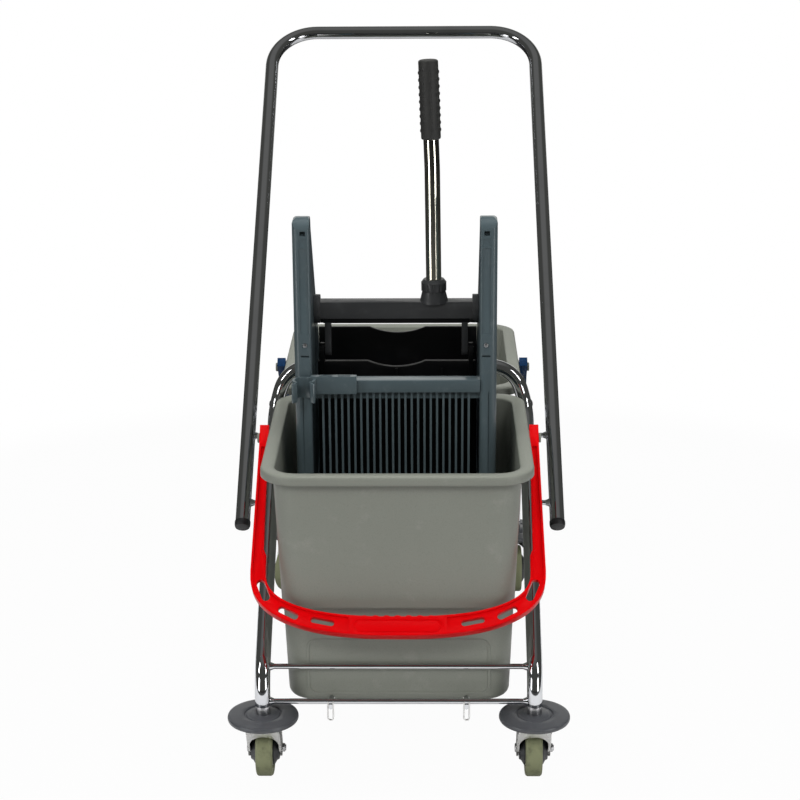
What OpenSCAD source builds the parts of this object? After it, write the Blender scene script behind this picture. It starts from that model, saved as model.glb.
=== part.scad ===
/* [Frame] */
// Outside diameter of the frame and handle tube
tube_d = 20; // [18:0.5:22]
// Wall of the frame and handle tube
tube_wall = 1.5; // [1:0.1:2]
// Half the distance between left and right caster stems
stem_x = 175.5; // [174:0.5:180]
// Half the wheelbase, front stem to middle
stem_y = 332.5; // [331:0.5:345]
// Lower end of the frame tube above the floor
stub_z = 109; // [107:0.5:110]
// Height where the slanting leg meets the stem
knee_z = 145; // [142:1:150]
// Height where the leg turns upright between the buckets
elbow_z = 409; // [406:1:411]
// Height of the middle of the hoop's top bar
hoop_z = 467; // [462:1:475]
// Diameter of the cross rods and support rods
rod_d = 7; // [6:0.5:8]
// Half the distance between the two support rods
support_x = 87.75; // [80:0.25:90]
// Wire diameter of the hanging loops
wire_d = 2; // [1.5:0.1:2]

/* [Handle] */
// Half the distance between the handle legs
handle_x = 212.5; // [211:0.5:216]
// Lower end of the handle in front of the middle
handle_low_y = -150; // [-160:1:-145]
// Middle of the handle's top bar behind the middle
handle_top_y = 553; // [540:1:570]
// How far each handle leg leans in at the top
handle_toe = 4.5; // [0:0.5:6]
// Corner radius of the handle
handle_r = 70; // [50:1:90]

/* [Casters] */
// Wheel diameter
wheel_d = 74; // [70:1:75]
// Tread width
tread_w = 22; // [18:1:24]
// Bumper disc diameter
disc_d = 92; // [84:1:92]
// Outside width of the fork
fork_w = 44; // [42:1:48]
// Distance the wheel trails behind its stem
trail = 22; // [18:1:26]
// Turn of the rear left caster
rear_left_turn = 156; // [140:1:220]

/* [Buckets] */
// Half width of the bucket rim
rim_x = 171.5; // [169:0.5:172]
// Front edge of the rim, from the middle
rim_front = 360; // [358:1:366]
// Gap between the rim and the middle of the trolley
rim_gap = 11; // [10.8:0.1:14]
// Height of the rim's top above the floor
rim_z = 431; // [429:1:434]
// Wall of the bucket
wall = 3; // [2.5:0.25:3.5]

/* [Bails] */
// Reach of the bail from pivot to grip
bail_reach = 283; // [276:1:290]
// Thickness of the bail
bail_t = 14; // [12:1:16]

/* [Wringer] */
// Height of the ears' tops above the floor
ear_top = 723; // [716:1:730]
// Height of the press shaft
shaft_z = 586; // [582:1:592]
// Number of ribs in the drain grid
grid_ribs = 24; // [20:1:26]
// Throw of the press cranks
crank_r = 56; // [52:1:58]

/* [Lever] */
// Diameter of the lever tube
lever_d = 20; // [18:0.5:21]
// Top of the grip above the floor
grip_top = 911; // [890:1:930]
// Diameter of the grip
grip_d = 27; // [25:0.5:29]

/* [Fits] */
// Radial play of a turning pin in its bore
play = 0.05; // [0.03:0.01:0.08]
// Gap between pieces that are fixed to each other
seat = 0.05; // [0.04:0.01:0.08]
// Gap between pieces that move past each other
run = 0.35; // [0.3:0.05:0.5]

/* [Hidden] */
$fn = 64;
y_mid = ((stem_y + disc_d / 2) - (handle_top_y + tube_d / 2)) / 2;
bore_d = tube_d - 2 * tube_wall;
lap = 0.2;
lap_step = 0.01;
knee_r = 60;
elbow_y = 6;
hoop_in = 17.5;
leg_rise = (elbow_z - knee_z) / (stem_y - elbow_y);
leg_turn = 90 - atan(leg_rise);
knee_t = knee_r * tan(leg_turn / 2);
knee_cy = stem_y - knee_r;
knee_cz = knee_z - knee_t;
hoop_path = [
    [-stem_x, -stem_y, stub_z], [-stem_x, -stem_y, knee_z],
    [-stem_x, -elbow_y, elbow_z], [-stem_x + hoop_in, 0, hoop_z],
    [stem_x - hoop_in, 0, hoop_z], [stem_x, -elbow_y, elbow_z],
    [stem_x, -stem_y, knee_z], [stem_x, -stem_y, stub_z]
];
hoop_bends = [0, knee_r, 50, 45, 45, 50, knee_r, 0];
rear_leg_y = 4;
rear_leg_z = knee_z + leg_rise * (stem_y - rear_leg_y);
handle_low_z = knee_z + leg_rise * (stem_y + handle_low_y);
handle_top_z = knee_z + leg_rise * (stem_y + handle_top_y);
handle_path = [
    [-handle_x, handle_low_y, handle_low_z], [handle_toe - handle_x, handle_top_y, handle_top_z],
    [handle_x - handle_toe, handle_top_y, handle_top_z], [handle_x, handle_low_y, handle_low_z]
];
handle_bends = [0, handle_r, handle_r, 0];
upper_rod = [knee_cy + knee_r * cos(42), knee_cz + knee_r * sin(42)];
lower_rod_z = stub_z + 5.5;
support_z = lower_rod_z - rod_d - seat;
loop_w = 3.4;
loop_drop = 24.5;
stay_y = [-127, -42.6];
axle_z = wheel_d / 2;
axle_d = 8;
pin_d = 10;
crown_z = 80;
crown_t = 3.5;
disc_z = 88;
disc_t = 10;
cheek_t = 2.5;
fork_front = -18;
hub_d = 52;
bucket_z = support_z - rod_d / 2 - 1;
lip_z = rim_z - 12;
belly_drop = 186;
corner_front = 45;
corner_rear = 40;
corner_wall = 31;
pivot_y = 166;
pivot_z = rim_z - 14;
pivot_d = 8;
boss_x = rim_x + 0.5;
bail_in = boss_x + 0.5;
bail_out = bail_in + 12;
bow_in = bail_in - 3.5;
bow_out = bail_out + 4;
bow_len = 88;
bow_s = bail_reach - bow_len;
bow_w = 25.5;
bow_power = 0.8;
bail_end = 16;
press_x = -3;
press_low = 300;
plate_top = 515;
back_top = 534.5;
bar_low = 496;
bar_top = 511.5;
bar_front = -218;
ear_in = 108;
ear_out = 130;
ear_front = -215;
ear_soft = 8;
ear_fine = 3;
clip_x = -117;
retainer_z = 558;
shaft_y = -135;
floor_z = bucket_z + wall;
stub_d = 16;
flange_x = 100;
crank_x = 94;
plate_pin_z = shaft_z - crank_r;
stud_z = plate_pin_z - 190;
lever_x = 49.6;
socket_z = shaft_z + 11;
grip_len = 101;
kink_z = grip_top - grip_len - 40;

chrome = [0.75, 0.76, 0.78];
zinc = [0.66, 0.68, 0.70];
steel = [0.60, 0.61, 0.63];
disc_grey = [0.29, 0.30, 0.31];
olive = [0.47, 0.49, 0.36];
hub_dark = [0.16, 0.16, 0.17];
bucket_grey = [0.48, 0.49, 0.45];
bail_red = [0.82, 0.02, 0.04];
bail_navy = [0.08, 0.18, 0.30];
anthracite = [0.25, 0.29, 0.32];
black = [0.05, 0.05, 0.055];

function unit(v) = v / norm(v);
function side_of(u) = abs(u[0]) < 0.9 ? unit(cross([1, 0, 0], u)) : unit(cross([0, 0, 1], u));
function turn_at(p, i) = acos(unit(p[i] - p[i - 1]) * unit(p[i + 1] - p[i]));
function arc(x, y, r, a) = [for (i = [0 : 9]) [x + r * cos(a + i * 10), y + r * sin(a + i * 10)]];
function ends(p, i) = i <= 0 || i >= len(p) - 1;
function back_at(p, r, i) = ends(p, i) ? 0 : r[i] * tan(turn_at(p, i) / 2);

// Puts its children into a frame given by origin and three axes
module in_frame(o, x, y, z) {
    multmatrix([
        [x[0], y[0], z[0], o[0]],
        [x[1], y[1], z[1], o[1]],
        [x[2], y[2], z[2], o[2]],
        [0, 0, 0, 1]
    ]) children();
}

// Points the children's z from a toward b
module aim(a, b) {
    u = unit(b - a);
    s = side_of(u);
    in_frame(a, s, cross(u, s), u) children();
}

// Straight round bar from a to b
module bar(a, b, d) {
    aim(a, b) cylinder(d = d, h = norm(b - a));
}

// Round bar bent along a path, with more length at both ends
module bent_bar(p, r, d, more = 0) {
    for (i = [0 : len(p) - 2]) {
        u = unit(p[i + 1] - p[i]);
        a = p[i] + u * (i == 0 ? -more : back_at(p, r, i) - lap);
        b = p[i + 1] - u * (i == len(p) - 2 ? -more : back_at(p, r, i + 1) - lap);
        bar(a, b, d);
    }
    for (i = [1 : len(p) - 2]) {
        u = unit(p[i] - p[i - 1]);
        v = unit(p[i + 1] - p[i]);
        n = unit(cross(u, v));
        start = p[i] - u * back_at(p, r, i);
        middle = start + cross(n, u) * r[i];
        in_frame(middle, unit(start - middle), u, n)
            rotate_extrude(angle = turn_at(p, i)) translate([r[i], 0]) circle(d = d - 2 * lap_step);
    }
}

// Hollow tube bent along a path
module bent_tube(p, r, d, t) {
    difference() {
        bent_bar(p, r, d);
        bent_bar(p, r, d - 2 * t, 1);
    }
}

// Trolley frame, moved so that the origin is under the middle of the box
module placed() {
    translate([0, y_mid, 0]) children();
}

// Puts wringer and press a little beside the middle
module in_press() {
    placed() translate([press_x, 0, 0]) children();
}

// Extrudes a drawing made in y and z along x, from x0 to x1
module along_x(x0, x1) {
    translate([x0, 0, 0]) in_frame([0, 0, 0], [0, 1, 0], [0, 0, 1], [1, 0, 0])
        linear_extrude(x1 - x0) children();
}

// Extrudes a drawing made in x and z along y, from y0 to y1
module along_y(y0, y1) {
    translate([0, y1, 0]) rotate([90, 0, 0]) linear_extrude(y1 - y0) children();
}

// Rounded rectangle from front to back with two corner radii
module rounded(hx, y0, y1, r0, r1) {
    translate([-hx + r0, y0]) square([2 * (hx - r0), r0]);
    translate([-hx + r1, y1 - r1]) square([2 * (hx - r1), r1]);
    translate([-hx, y0 + r0]) square([2 * hx, y1 - y0 - r0 - r1]);
    for (s = [-1, 1]) {
        translate([s * (hx - r0), y0 + r0]) circle(r0);
        translate([s * (hx - r1), y1 - r1]) circle(r1);
    }
}

// Thin slab of a bucket's outline at one height
module slab(z, hx, y0, y1, r0, r1) {
    translate([0, 0, z]) linear_extrude(0.02) rounded(hx, y0, y1, r0, r1, $fn = 32);
}

// Oval slot between two points
module slot(a, b, w) {
    t = atan2(b[1] - a[1], b[0] - a[0]);
    polygon(concat(
        [for (i = [0 : 12]) a + w / 2 * [cos(t + 90 + i * 15), sin(t + 90 + i * 15)]],
        [for (i = [0 : 12]) b + w / 2 * [cos(t - 90 + i * 15), sin(t - 90 + i * 15)]]
    ));
}

module hoop_solid(more) {
    bent_bar(hoop_path, hoop_bends, tube_d + 2 * more);
}

module front_hoop() {
    color(chrome) placed() bent_tube(hoop_path, hoop_bends, tube_d, tube_wall);
}

function rear_path(s) = [
    [s * stem_x, stem_y, stub_z], [s * stem_x, stem_y, knee_z], [s * stem_x, rear_leg_y, rear_leg_z]
];

module rear_leg(s) {
    color(chrome) placed() difference() {
        bent_tube(rear_path(s), [0, knee_r, 0], tube_d, tube_wall);
        hoop_solid(seat);
    }
}

// Rod across the frame with weld cones where it meets the legs
module cross_rod(y, z) {
    bar([-stem_x, y, z], [stem_x, y, z], rod_d);
    for (s = [-1, 1]) {
        translate([s * (stem_x - tube_d / 2 + 1), y, z]) rotate([0, -s * 90, 0])
            cylinder(d1 = rod_d + 5, d2 = rod_d, h = 6);
    }
}

module front_high_rod() {
    color(chrome) placed() difference() {
        cross_rod(-upper_rod[0], upper_rod[1]);
        hoop_solid(seat);
    }
}

module rear_high_rod() {
    color(chrome) placed() difference() {
        cross_rod(upper_rod[0], upper_rod[1]);
        for (s = [-1, 1]) bent_bar(rear_path(s), [0, knee_r, 0], tube_d + 2 * seat);
    }
}

// Lower rod, coped to the straight tube ends
module low_rod(side) {
    color(chrome) placed() difference() {
        cross_rod(side * stem_y, lower_rod_z);
        for (s = [-1, 1])
            translate([s * stem_x, side * stem_y, stub_z - 5]) cylinder(d = tube_d + 0.6, h = 24);
    }
}

module support_rod(s) {
    over = rod_d / 2 - 1;
    color(chrome) placed()
        bar([s * support_x, -stem_y - over, support_z], [s * support_x, stem_y + over, support_z], rod_d);
}

// Wire hairpin welded to the front of the lower rod, over the end of a support rod
module wire_loop(s) {
    x = s * support_x;
    y = -stem_y - rod_d / 2 - seat - wire_d / 2;
    low = lower_rod_z - loop_drop;
    color(zinc) placed() bent_bar(
        [[x - loop_w, y, lower_rod_z + 1], [x - loop_w, y, low],
         [x + loop_w, y, low], [x + loop_w, y, lower_rod_z + 1]],
        [0, loop_w - lap_step, loop_w - lap_step, 0], wire_d, $fn = 24
    );
}

module push_handle() {
    color(chrome) placed() bent_tube(handle_path, handle_bends, tube_d, tube_wall);
}

module handle_plug(s) {
    low = [s * handle_x, handle_low_y, handle_low_z];
    far = [s * (handle_x - handle_toe), handle_top_y, handle_top_z];
    color(black) placed() aim(low, far) {
        translate([0, 0, -4 - seat]) cylinder(d = tube_d + 1.4, h = 4);
        intersection() {
            translate([0, 0, -4 - seat]) sphere(d = tube_d + 1.4);
            translate([0, 0, -9]) cylinder(d = tube_d + 2, h = 5.01);
        }
        translate([0, 0, -1]) cylinder(d = bore_d - 2 * seat, h = 16);
    }
}

// Short stay with weld flares between a frame leg and the handle
module stay(s, y) {
    z = knee_z + leg_rise * (stem_y + y);
    color(chrome) placed() difference() {
        union() {
            bar([s * stem_x, y, z], [s * handle_x, y, z], rod_d);
            translate([s * (stem_x + tube_d / 2 - 1), y, z]) rotate([0, s * 90, 0])
                cylinder(d1 = rod_d + 4, d2 = rod_d, h = 5);
            translate([s * (handle_x - tube_d / 2 + 1), y, z]) rotate([0, -s * 90, 0])
                cylinder(d1 = rod_d + 5, d2 = rod_d, h = 6);
        }
        hoop_solid(seat);
        bent_bar(handle_path, handle_bends, tube_d + 2 * seat);
    }
}

// Places a caster piece at its stem; the turn is that of the resting caster
module at_stem(sx, sy) {
    turn = sy < 0 ? 0 : (sx < 0 ? rear_left_turn : 180);
    placed() translate([sx * stem_x, sy * stem_y, 0]) rotate(turn) children();
}

// Stem insert with collar, kingpin and rivet head
module stem(sx, sy) {
    color(steel) at_stem(sx, sy) {
        translate([0, 0, stub_z - 1]) cylinder(d = bore_d - 2 * seat, h = 7);
        translate([0, 0, disc_z + disc_t + seat])
            cylinder(d = tube_d - 1, h = stub_z - disc_z - disc_t - 2 * seat);
        translate([0, 0, crown_z - run - 3]) cylinder(d = pin_d, h = stub_z - crown_z);
        translate([0, 0, crown_z - run - 3]) cylinder(d1 = pin_d + 3, d2 = pin_d + 6, h = 3);
    }
}

// Dished bumper disc with a boss and a ring groove
module disc(sx, sy) {
    r = disc_d / 2;
    color(disc_grey) at_stem(sx, sy) rotate_extrude() difference() {
        union() {
            polygon([
                [pin_d / 2 + seat, crown_z + crown_t + run], [17, crown_z + crown_t + run], [20, disc_z],
                [r - 5, disc_z + 2], [r - 5, disc_z + 8], [r - 14, disc_z + disc_t - 1],
                [19, disc_z + disc_t - 1],
                [17, disc_z + disc_t], [pin_d / 2 + seat, disc_z + disc_t]
            ]);
            translate([r - 5, disc_z + 5]) intersection() {
                translate([-5, -3]) square([10, 6]);
                circle(5);
            }
        }
        translate([23, disc_z + disc_t - 0.5]) circle(1.6, $fn = 24);
    }
}

// Front plate of the fork along the slanting edge of its cheeks, with an arch over the wheel
module fork_arch() {
    h = fork_w / 2;
    top = [fork_front, crown_z + crown_t];
    foot = [trail - 10.4, axle_z - 3];
    v = unit(foot - top);
    in_frame([0, top[0], top[1]], [1, 0, 0], [0, v[0], v[1]], [0, -v[1], v[0]])
        linear_extrude(cheek_t) difference() {
            polygon([[-h, 1.6], [h, 1.6], [h, 44], [h - 3, 54], [3 - h, 54], [-h, 44]]);
            polygon(concat(
                [[3 - h, 60]],
                [for (a = [180 : 10 : 360]) [(h - 3) * cos(a), h + 3 + (h - 3) * sin(a)]],
                [[h - 3, 60]]
            ));
        }
}

module fork(sx, sy) {
    h = fork_w / 2;
    color(zinc) at_stem(sx, sy) difference() {
        union() {
            translate([0, 0, crown_z]) intersection() {
                cylinder(r = h + 3, h = crown_t);
                translate([-h, fork_front, 0]) cube([2 * h, h + 4 - fork_front, crown_t]);
            }
            for (s = [0, 1]) mirror([s, 0, 0]) along_x(h - cheek_t, h) {
                polygon([
                    [fork_front, crown_z + crown_t], [14, crown_z + crown_t],
                    [trail + 10.4, axle_z + 3], [trail - 10.4, axle_z - 3]
                ]);
                translate([trail, axle_z]) circle(11);
            }
            fork_arch();
        }
        translate([0, 0, crown_z - 1]) cylinder(d = pin_d + 2 * play, h = crown_t + 2);
        along_x(-h - 1, h + 1) translate([trail, axle_z]) circle(d = axle_d + 2 * seat);
    }
}

module axle(sx, sy) {
    h = fork_w / 2;
    color(steel) at_stem(sx, sy) translate([0, trail, axle_z]) rotate([0, 90, 0]) {
        translate([0, 0, -h - 1]) cylinder(d = axle_d, h = 2 * h + 6);
        translate([0, 0, h + seat]) cylinder(d = 12.5, h = 3.5, $fn = 6);
        translate([0, 0, -h - seat - 2]) cylinder(d1 = 10, d2 = 13, h = 2);
    }
}

module hub(sx, sy) {
    h = fork_w / 2 - cheek_t - run - 0.3;
    w = tread_w / 2;
    r = hub_d / 2;
    color(hub_dark) at_stem(sx, sy) translate([0, trail, axle_z]) rotate([0, 90, 0])
        rotate_extrude() polygon([
        [axle_d / 2 + play, -h], [9, -h], [9, -4], [r - 5, -4], [r - 4, 1 - w], [r, 1 - w],
        [r, w - 1], [r - 4, w - 1], [r - 5, 4], [9, 4], [9, h], [axle_d / 2 + play, h]
    ]);
}

module tyre(sx, sy) {
    w = tread_w / 2;
    r = wheel_d / 2;
    color(olive) at_stem(sx, sy) translate([0, trail, axle_z]) rotate([0, 90, 0]) rotate_extrude() {
        translate([hub_d / 2 + seat, -w]) square([r - hub_d / 2 - seat - 4, tread_w]);
        translate([r - 5, -w + 4]) square([5, tread_w - 8]);
        for (s = [-1, 1]) translate([r - 4, s * (w - 4)]) circle(4, $fn = 32);
    }
}

belly_z = rim_z - belly_drop;
function rise(z) = (z - bucket_z) / (lip_z - bucket_z);
function half_at(z) = rim_x - 27.5 + 12 * rise(z);
function rear_at(z) = -rim_gap - 29 + 13 * rise(z);
function low_front(z) = -rim_front + 51 - 17 * rise(z);
function high_front(z) = -rim_front + 35 - 21 * rise(z);

// Outline slab of the bucket at a height, drawn in by i
module level(z, front, i, in = 0) {
    r = corner_wall - i - in;
    slab(z, half_at(z) - i - in, front + i + in, rear_at(z) - i - in, r, r);
}

// Bucket body: lower part behind the belly and upper part over it
module bucket_form(i) {
    hull() {
        level(bucket_z + i, low_front(bucket_z), i, 10);
        level(bucket_z + i + 3, low_front(bucket_z), i, 4);
        level(bucket_z + i + 10, low_front(bucket_z + 10), i);
        level(belly_z + 6, low_front(belly_z + 6), i, 0.2);
    }
    hull() {
        level(belly_z - 7 + 1.05 * i, low_front(belly_z) - 2, i);
        level(belly_z + 1.05 * i, high_front(belly_z), i, 0.2);
        level(i > 0 ? rim_z + 2 : rim_z - 2, high_front(rim_z), i);
    }
}

// Turned-down rim around the bucket
module bucket_rim() {
    translate([0, 0, rim_z - 4]) linear_extrude(3)
        rounded(rim_x, -rim_front, -rim_gap, corner_front, corner_rear);
    translate([0, 0, rim_z - 1.01]) linear_extrude(1.01)
        rounded(rim_x - 1.2, -rim_front + 1.2, -rim_gap - 1.2, corner_front - 1.2, corner_rear - 1.2);
    translate([0, 0, lip_z]) linear_extrude(9) difference() {
        rounded(rim_x, -rim_front, -rim_gap, corner_front, corner_rear);
        rounded(rim_x - 2.5, -rim_front + 2.5, -rim_gap - 2.5, corner_front - 2.5, corner_rear - 2.5);
    }
}

// Raised frame low on the front wall
module front_mark() {
    t = atan(17 / (lip_z - bucket_z));
    in_frame([0, low_front(bucket_z), bucket_z], [1, 0, 0], [0, -sin(t), cos(t)], [0, -cos(t), -sin(t)])
        translate([0, 0, -0.5]) linear_extrude(1.3) difference() {
            translate([-98, 22]) square([196, 92]);
            translate([-94, 26]) square([188, 84]);
        }
}

// Ridge over a support rod, open below
module rod_ridge(more) {
    w = rod_d / 2 + run + more;
    for (s = [-1, 1]) translate([s * support_x, 0, support_z]) along_y(-rim_front, -rim_gap) {
        circle(w);
        translate([-w, -20]) square([2 * w, 20]);
    }
}

module bucket() {
    difference() {
        union() {
            bucket_form(0);
            bucket_rim();
            for (s = [-1, 1])
                translate([s * (half_at(pivot_z) - wall / 2), -pivot_y, pivot_z]) rotate([0, s * 90, 0])
                    cylinder(d = 22, h = boss_x - half_at(pivot_z) + wall / 2);
        }
        difference() {
            bucket_form(wall);
            rod_ridge(wall);
        }
        rod_ridge(0);
    }
    front_mark();
    for (s = [-1, 1]) translate([s * (boss_x - 1), -pivot_y, pivot_z]) rotate([0, s * 90, 0]) {
        cylinder(d = pivot_d, h = bail_out + run + 1.5 - boss_x);
        translate([0, 0, bail_out + run + 1 - boss_x]) cylinder(d1 = pivot_d + 5, d2 = pivot_d + 3, h = 3);
    }
}

module front_bucket() {
    color(bucket_grey) placed() bucket();
}

module rear_bucket() {
    color(bucket_grey) placed() rotate(180) bucket();
}

function bow(hx, reach) = [
    for (i = [0 : 44]) let (t = -90 + i * 180 / 44, s = t < 0 ? -1 : 1)
        [s * hx * pow(abs(sin(t)), bow_power), bow_s + reach * pow(max(cos(t), 0), bow_power)]
];

// Bail band in its own plane, with both edges drawn in by g
module band(g) {
    difference() {
        polygon(concat(
            [[g - bail_out, g - bail_end], [g - bail_out, bail_end]],
            bow(bow_out - g, bow_len - g),
            [[bail_out - g, bail_end], [bail_out - g, g - bail_end]]
        ));
        polygon(concat(
            [[-bail_in - g, -bail_end - 2], [-bail_in - g, bow_s - 30], [-bow_in - g, bow_s - 22]],
            bow(bow_in + g, bow_len - bow_w + g),
            [[bow_in + g, bow_s - 22], [bail_in + g, bow_s - 30], [bail_in + g, -bail_end - 2]]
        ));
    }
}

// The sunken face of the bail, left full at pivots, slots and grip
module sunken() {
    difference() {
        band(3);
        translate([-250, -30]) square([500, 46]);
        translate([-62, bow_s]) square([124, bow_len + 10]);
    }
}

module bail() {
    difference() {
        union() {
            linear_extrude(bail_t, center = true) band(0);
            linear_extrude(bail_t, center = true)
                for (i = [-3 : 3]) translate([i * 14, bail_reach - bow_w + 6.5]) circle(8);
        }
        for (s = [-1, 1]) translate([0, 0, s * (bail_t / 2 + 1)]) linear_extrude(8, center = true) sunken();
        linear_extrude(bail_t + 2, center = true) for (s = [-1, 1]) {
            slot([s * 175, bail_reach - 72], [s * 167.5, bail_reach - 53], 10.5);
            slot([s * 147, bail_reach - 36], [s * 130, bail_reach - 27], 9);
            slot([s * 106, bail_reach - 22], [s * 84, bail_reach - 17.5], 8);
        }
        translate([0, 0, -bail_t / 2 - 1]) linear_extrude(2) difference() {
            slot([-48, bail_reach - 12], [48, bail_reach - 12], 18);
            slot([-46, bail_reach - 12], [46, bail_reach - 12], 14);
        }
        for (s = [-1, 1]) translate([s * bail_in - s, 0, 0]) rotate([0, s * 90, 0])
            cylinder(d = pivot_d + 2 * play, h = bail_out - bail_in + 2);
    }
}

// Puts the bail at its pivots, sloping down and out until it rests on the belly's lower edge
module on_pivot() {
    belly = [-high_front(belly_z) - pivot_y, pivot_z - belly_z];
    bail_slope = atan2(belly[1], belly[0]) - asin((bail_t / 2 + run) / norm(belly));
    c = cos(bail_slope);
    s = sin(bail_slope);
    in_frame([0, -pivot_y, pivot_z], [1, 0, 0], [0, -c, -s], [0, s, -c]) children();
}

module front_bail() {
    color(bail_red) placed() on_pivot() bail();
}

module rear_bail() {
    color(bail_navy) placed() rotate(180) on_pivot() bail();
}

// Side view of an ear above its leg
module ear_view(g) {
    polygon([
        [ear_front + g, press_low + g], [ear_front + g, ear_top - 18], [ear_front + 36 - g, ear_top - 18],
        [-70 - g, 560 - g], [-34 - g, 505 - g], [-34 - g, rim_z + 11 + g], [-47 - g, rim_z - 7],
        [-52 - g, press_low + g]
    ]);
    translate([ear_front + 18, ear_top - 18]) circle(18 - g);
}

// Arc that the press plate's guide studs run in
module guide_arc(w) {
    difference() {
        circle(crank_r + w);
        circle(crank_r - w);
        polygon([[0, 0], [0, -200], [-200, -200], [-200, 200], [200, 200], [200, -93.3]]);
    }
    translate([0, -crank_r]) circle(w);
    translate([crank_r * sin(65), -crank_r * cos(65)]) circle(w);
}

// Upright prism with the ear's outline from above, rounded at the front
module ear_plan() {
    translate([0, 0, press_low - 1]) linear_extrude(ear_top) polygon(concat(
        arc(ear_in + ear_fine, ear_front + ear_fine, ear_fine, 180),
        arc(ear_out - ear_soft, ear_front + ear_soft, ear_soft, 270),
        [[ear_out, 0], [ear_in, 0]]
    ));
}

// Level prism with the ear's outline from the front, rounded over the top
module ear_crown() {
    along_y(ear_front - 1, 0) polygon(concat(
        [[ear_in, press_low - 1], [ear_out, press_low - 1]],
        arc(ear_out - ear_soft, ear_top - ear_soft, ear_soft, 0),
        arc(ear_in + ear_fine, ear_top - ear_fine, ear_fine, 90)
    ));
}

// One ear with its leg, outer pocket, shaft bore and guide groove
module ear() {
    difference() {
        union() {
            intersection() {
                along_x(ear_in, ear_out) ear_view(0);
                ear_plan();
                ear_crown();
            }
            along_x(ear_in, ear_in + 12) polygon([
                [ear_front + 4, floor_z + run], [-170, floor_z + run], [-120, press_low + 10],
                [ear_front + 4, press_low + 10]
            ]);
        }
        along_x(ear_out - 9, ear_out + 1) difference() {
            ear_view(5);
            translate([shaft_y, shaft_z]) circle(19);
            translate([ear_front, press_low - 10]) square([13, 420]);
            translate([-150, 440]) rotate(20) square([6, 300], center = true);
            translate([-100, 420]) rotate(20) square([6, 300], center = true);
        }
        along_x(ear_in - 1, ear_in + 11) translate([shaft_y, shaft_z]) circle(d = stub_d + 2 * play);
        along_x(ear_in - 1, ear_in + 5.5) translate([shaft_y, stud_z + crank_r]) guide_arc(4.6);
        translate([ear_in + 11, ear_front - 1, press_low + 30]) cube([1.5, 2.6, 165]);
        translate([ear_in + 3, ear_front - 1, 573]) cube([10.5, 2.4, 112]);
        translate([ear_in + 5, ear_front - 1, ear_top - 22]) cube([7, 9, 6]);
        translate([ear_in + 3.5, ear_front - 1, ear_top - 36]) cube([9.5, 1.8, 10]);
        translate([ear_in + 3, ear_front - 1, 542]) cube([10.5, 5, 2.5]);
        translate([ear_in + 8, ear_front - 1, retainer_z]) rotate([-90, 0, 0])
            cylinder(d = 4 + 2 * seat, h = 10);
    }
}

// Shallow curved dip in the top edge of a plate
module dip(z) {
    translate([0, -250, z + 86.25]) rotate([-90, 0, 0]) cylinder(r = 94.25, h = 240, $fn = 96);
}

module drain_grid() {
    pitch = 188.4 / (grid_ribs - 1);
    rib = 2.8;
    w = ear_in + 0.5;
    for (i = [0 : grid_ribs - 1])
        translate([-94.2 + i * pitch - rib / 2, -212, press_low]) cube([rib, 16, bar_low - press_low]);
    translate([-w, -214, press_low]) cube([2 * w, 18, 8]);
    translate([-w, -208, bar_low - 11]) cube([2 * w, 12, 11.5]);
    translate([-w, bar_front, bar_low]) cube([2 * w, 22, bar_top - bar_low]);
}

module press_floor() {
    difference() {
        translate([-ear_in - 0.5, -212, press_low]) cube([2 * ear_in + 1, 163, 5]);
        for (i = [-5 : 5], j = [0 : 2])
            translate([i * 17 - 3, -190 + j * 46, press_low - 1]) cube([6, 36, 7]);
    }
}

module wringer_body() {
    color(anthracite) in_press() {
        ear();
        mirror([1, 0, 0]) ear();
        drain_grid();
        press_floor();
        for (s = [-1, 1]) translate([s * (ear_in + 11) - 10, -46, rim_z + run]) cube([20, 30, 6]);
    }
}

// Fixed plate behind the mop space
module back_plate() {
    foot = press_low + 5 + seat;
    color(black) in_press() difference() {
        along_x(-ear_in + seat, ear_in - seat)
            polygon([[-33, back_top], [-39, back_top], [-55, foot], [-49, foot]]);
        dip(back_top);
    }
}

// Clip bracket on the cross bar, with an open ring for a mop stick and lips that lead it in
module mop_clip() {
    ring = [clip_x, bar_front - 16];
    color(anthracite) in_press() {
        difference() {
            translate([clip_x + 8, bar_front - 10, bar_low + 1]) cube([59, 10 - seat, 23]);
            translate([clip_x + 19, bar_front - 8, bar_low + 18]) cube([16, 5, 7]);
            translate([clip_x + 43, bar_front - 8, bar_low + 18]) cube([16, 5, 7]);
        }
        difference() {
            translate([ring[0], ring[1], bar_low - 5]) cylinder(d = 30, h = 27);
            translate([ring[0], ring[1], bar_low - 6]) cylinder(d = 23, h = 29);
            translate([ring[0] - 8, ring[1] - 18, bar_low - 6]) cube([16, 14, 29]);
        }
        for (s = [0, 1]) translate([ring[0], ring[1], bar_low - 4]) mirror([s, 0, 0])
            translate([9.6, -11, 0]) rotate(35) translate([-1.3, -7.5, 0]) cube([2.6, 8, 25]);
    }
}

module retainer(s) {
    at = [s * (ear_in + 8), ear_front + 1.2 - seat, retainer_z];
    color(steel) in_press() translate(at) rotate([90, 0, 0]) {
        translate([0, 0, -6.5]) cylinder(d = 4, h = 7.5);
        translate([0, 0, 1.2]) cylinder(d1 = 6.5, d2 = 4.5, h = 1.6);
        cylinder(d = 4, h = 2);
    }
}

// Crank arm hanging from the shaft
module crank() {
    along_x(crank_x - 8, crank_x) {
        polygon([[-9, 0], [9, 0], [8, -crank_r], [-8, -crank_r]]);
        translate([0, -crank_r]) circle(8);
    }
    along_x(crank_x - 1, crank_x + 8) translate([0, -crank_r]) circle(d = 8);
}

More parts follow.
